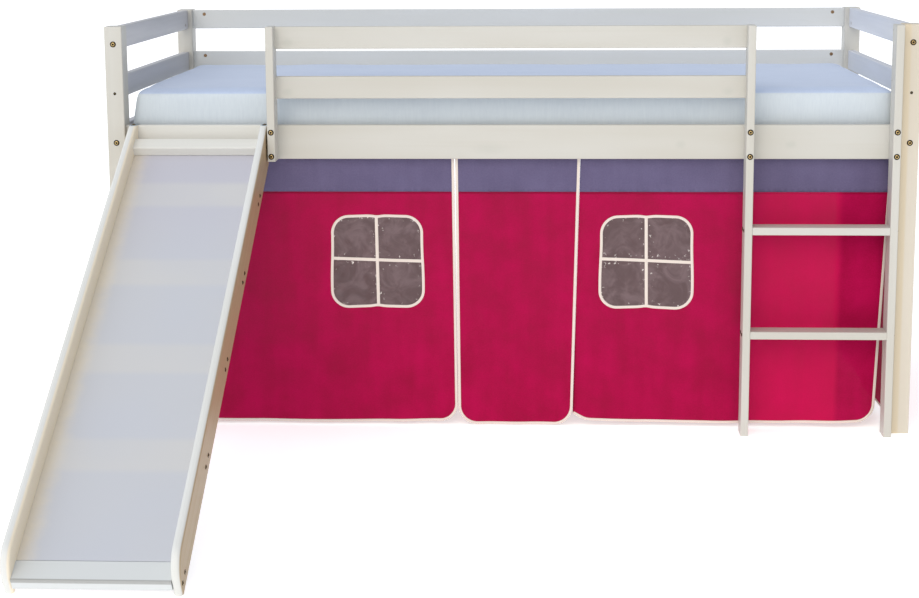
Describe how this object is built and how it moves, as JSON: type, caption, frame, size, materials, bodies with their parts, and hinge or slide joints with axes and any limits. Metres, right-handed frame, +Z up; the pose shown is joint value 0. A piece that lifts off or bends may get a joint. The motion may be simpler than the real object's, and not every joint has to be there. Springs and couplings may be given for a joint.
{
  "type": "mid-sleeper bed",
  "caption": "Painted timber child's mid-height bed with a lift-off slide, a ladder, guard planks, a mattress on slats and a play curtain with windows.",
  "frame": {"origin": "middle of the footprint on the floor, slide included", "axes": "+X along the bed towards the ladder, +Y from the slide's foot to the back, +Z up"},
  "size_m": [2.0852, 2.2264, 1.062],
  "materials": {
    "painted_wood": "satin cream-white paint on planed pine",
    "slide_panel": "smooth white lacquered board",
    "bare_pine": "bare planed pine",
    "mattress_cloth": "white brushed knit cover",
    "curtain_cloth": "crimson plain-woven polyester",
    "band_cloth": "violet plain-woven polyester",
    "piping": "cream bias binding",
    "window_film": "clear crinkled film",
    "hook_tape": "white hook tape",
    "webbing": "woven webbing",
    "bronzed_bolt": "bronzed furniture bolt",
    "brass_nut": "brassed nut",
    "dark_screw": "yellow-passivated screw",
    "hook_steel": "zinc-plated strap"
  },
  "bodies": {
    "frame": {"back_plank_lower": "painted_wood", "back_plank_upper": "painted_wood", "barrel_nuts": "brass_nut", "bed_slats": "bare_pine", "curtain_door_header": "band_cloth", "curtain_end_bands": "band_cloth", "curtain_end_left": "curtain_cloth", "curtain_end_right": "curtain_cloth", "curtain_left": "curtain_cloth", "curtain_left_band": "band_cloth", "curtain_right": "curtain_cloth", "curtain_right_band": "band_cloth", "curtain_tapes": "hook_tape", "dowels": "bare_pine", "end_plank_left_lower": "painted_wood", "end_plank_left_upper": "painted_wood", "end_plank_right_lower": "painted_wood", "end_plank_right_upper": "painted_wood", "end_rail_left": "painted_wood", "end_rail_right": "painted_wood", "frame_bolts": "bronzed_bolt", "guard_bolts": "bronzed_bolt", "guard_plank_lower": "painted_wood", "guard_plank_upper": "painted_wood", "guard_stile": "painted_wood", "ladder_rung_lower": "painted_wood", "ladder_rung_upper": "painted_wood", "ladder_stile_left": "painted_wood", "ladder_stile_right": "painted_wood", "ledge_screws": "dark_screw", "post_back_left": "painted_wood", "post_back_right": "painted_wood", "post_front_left": "painted_wood", "post_front_right": "painted_wood", "post_screws": "dark_screw", "rung_screws": "dark_screw", "side_rail_back": "painted_wood", "side_rail_front": "painted_wood", "slat_ledge_back": "bare_pine", "slat_ledge_front": "bare_pine", "slat_webbing": "webbing", "stile_bolts": "bronzed_bolt", "stile_inserts": "brass_nut", "window_film_left": "window_film", "window_film_right": "window_film"},
    "mattress": {"mattress": "mattress_cloth"},
    "slide": {"slide_cross_slat_1": "painted_wood", "slide_cross_slat_2": "painted_wood", "slide_cross_slat_3": "painted_wood", "slide_cross_slat_4": "painted_wood", "slide_foot_board": "painted_wood", "slide_hooks": "hook_steel", "slide_panel": "slide_panel", "slide_screws": "dark_screw", "slide_side_left": "painted_wood", "slide_side_right": "painted_wood", "slide_top_board": "painted_wood"},
    "curtain_door": {"curtain_door": "curtain_cloth", "curtain_door_band": "band_cloth"}
  },
  "joints": [
    {"name": "slide_lift", "type": "slide", "parent": "frame", "child": "slide", "axis": [0, 0, 1], "range_m": [0, 0.2]},
    {"name": "mattress_lift", "type": "slide", "parent": "frame", "child": "mattress", "axis": [0, 0, 1], "range_m": [0, 0.3]},
    {"name": "curtain_door_swing", "type": "hinge", "parent": "frame", "child": "curtain_door", "pos_m": [0.0215, 0.16924, 0.717], "axis": [1, 0, 0], "range_deg": [-60, 70]}
  ]
}
